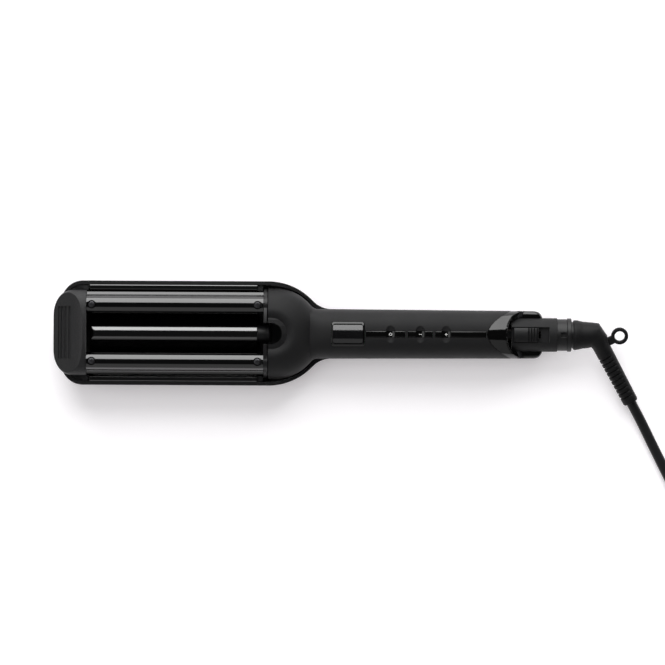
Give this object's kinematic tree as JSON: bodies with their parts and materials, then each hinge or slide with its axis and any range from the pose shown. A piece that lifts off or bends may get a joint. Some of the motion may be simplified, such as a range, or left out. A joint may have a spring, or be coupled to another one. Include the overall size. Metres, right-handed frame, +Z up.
{
  "type": "hair waver",
  "caption": "Hair waver with barrels on the upper jaw that close into a ridged plate, a keyed handle, a sliding lock and a swivelling cord.",
  "frame": {"origin": "on the table, under the middle of the tool's length, on its centre line", "axes": "+X from the cool tip towards the cord, +Y to the left, +Z up; the tool lies closed on its lower jaw"},
  "size_m": [0.4695, 0.1697, 0.0377],
  "materials": {
    "case_black": "soft-touch black moulded plastic",
    "trim_black": "glossy black moulded plastic",
    "inner_plastic": "dark heat-resistant moulded plastic",
    "tip_black": "finely grained black plastic",
    "coated_aluminium": "glossy black ceramic coating on aluminium",
    "bare_aluminium": "bare cast aluminium",
    "ceramic": "white ceramic heater",
    "spring_steel": "spring steel",
    "zinc": "plain steel",
    "dark_steel": "blackened steel",
    "brass": "brass",
    "lens": "smoked clear display window",
    "lcd": "display module",
    "board": "green circuit board",
    "terminal": "pale terminal plastic",
    "lead": "insulated lead",
    "rubber_black": "matte black rubber",
    "cord_black": "black cord jacket",
    "nickel": "nickel-plated brass"
  },
  "bodies": {
    "lower_arm": {"lower_shell": "case_black", "lower_liner": "inner_plastic", "lower_front_cap": "inner_plastic", "lower_rear_cap": "inner_plastic", "wave_plate": "coated_aluminium", "plate_heaters": "ceramic", "plate_springs": "spring_steel", "thermal_fuse": "brass", "lower_deck": "inner_plastic", "case_screws": "zinc", "terminal_block": "terminal", "mains_leads": "lead", "opening_spring": "spring_steel", "tail_housing": "trim_black", "tail_tube": "case_black", "hinge_pins": "spring_steel", "tail_collar": "case_black", "swivel_ring": "case_black", "swivel_contacts": "brass", "cord_run": "cord_black", "cord_coil": "cord_black", "cord_end": "cord_black", "cord_tie": "rubber_black", "plug_body": "rubber_black", "plug_pins": "nickel"},
    "upper_arm": {"upper_shell": "case_black", "upper_deck": "inner_plastic", "tail_trim": "trim_black", "hinge_yoke": "zinc", "lock_keeper": "zinc", "upper_collar": "inner_plastic", "rear_bracket": "inner_plastic", "front_bracket": "inner_plastic", "cool_tip": "tip_black", "barrel_left": "coated_aluminium", "barrel_right": "coated_aluminium", "barrel_screws": "dark_steel", "heat_bars": "bare_aluminium", "barrel_heaters": "ceramic", "barrel_clips": "spring_steel", "display_bezel": "trim_black", "display_lens": "lens", "display_module": "lcd", "control_board": "board", "key_switches": "inner_plastic", "key_guide": "inner_plastic"},
    "lock_slide": {"lock_slider": "tip_black"},
    "swivel": {"swivel_stem": "inner_plastic", "swivel_boot": "rubber_black"},
    "power_button": {"power_key": "trim_black"},
    "minus_button": {"minus_key": "trim_black"},
    "plus_button": {"plus_key": "trim_black"}
  },
  "joints": [
    {"name": "jaw_hinge", "type": "hinge", "parent": "lower_arm", "child": "upper_arm", "pos_m": [0.122, 0, 0.017], "axis": [0, 1, 0], "range_deg": [0, 22], "deforming": ["opening_spring"]},
    {"name": "lock_travel", "type": "slide", "parent": "lower_arm", "child": "lock_slide", "axis": [1, 0, 0], "range_m": [0, 0.0054]},
    {"name": "cord_swivel", "type": "hinge", "parent": "lower_arm", "child": "swivel", "pos_m": [0.153, 0, 0.017], "axis": [1, 0, 0], "continuous": true},
    {"name": "power_key_press", "type": "slide", "parent": "upper_arm", "child": "power_button", "axis": [0, 0, -1], "range_m": [0, 0.0008], "stiffness_N_per_m": 1500},
    {"name": "minus_key_press", "type": "slide", "parent": "upper_arm", "child": "minus_button", "axis": [0, 0, -1], "range_m": [0, 0.0008], "stiffness_N_per_m": 1500},
    {"name": "plus_key_press", "type": "slide", "parent": "upper_arm", "child": "plus_button", "axis": [0, 0, -1], "range_m": [0, 0.0008], "stiffness_N_per_m": 1500}
  ]
}
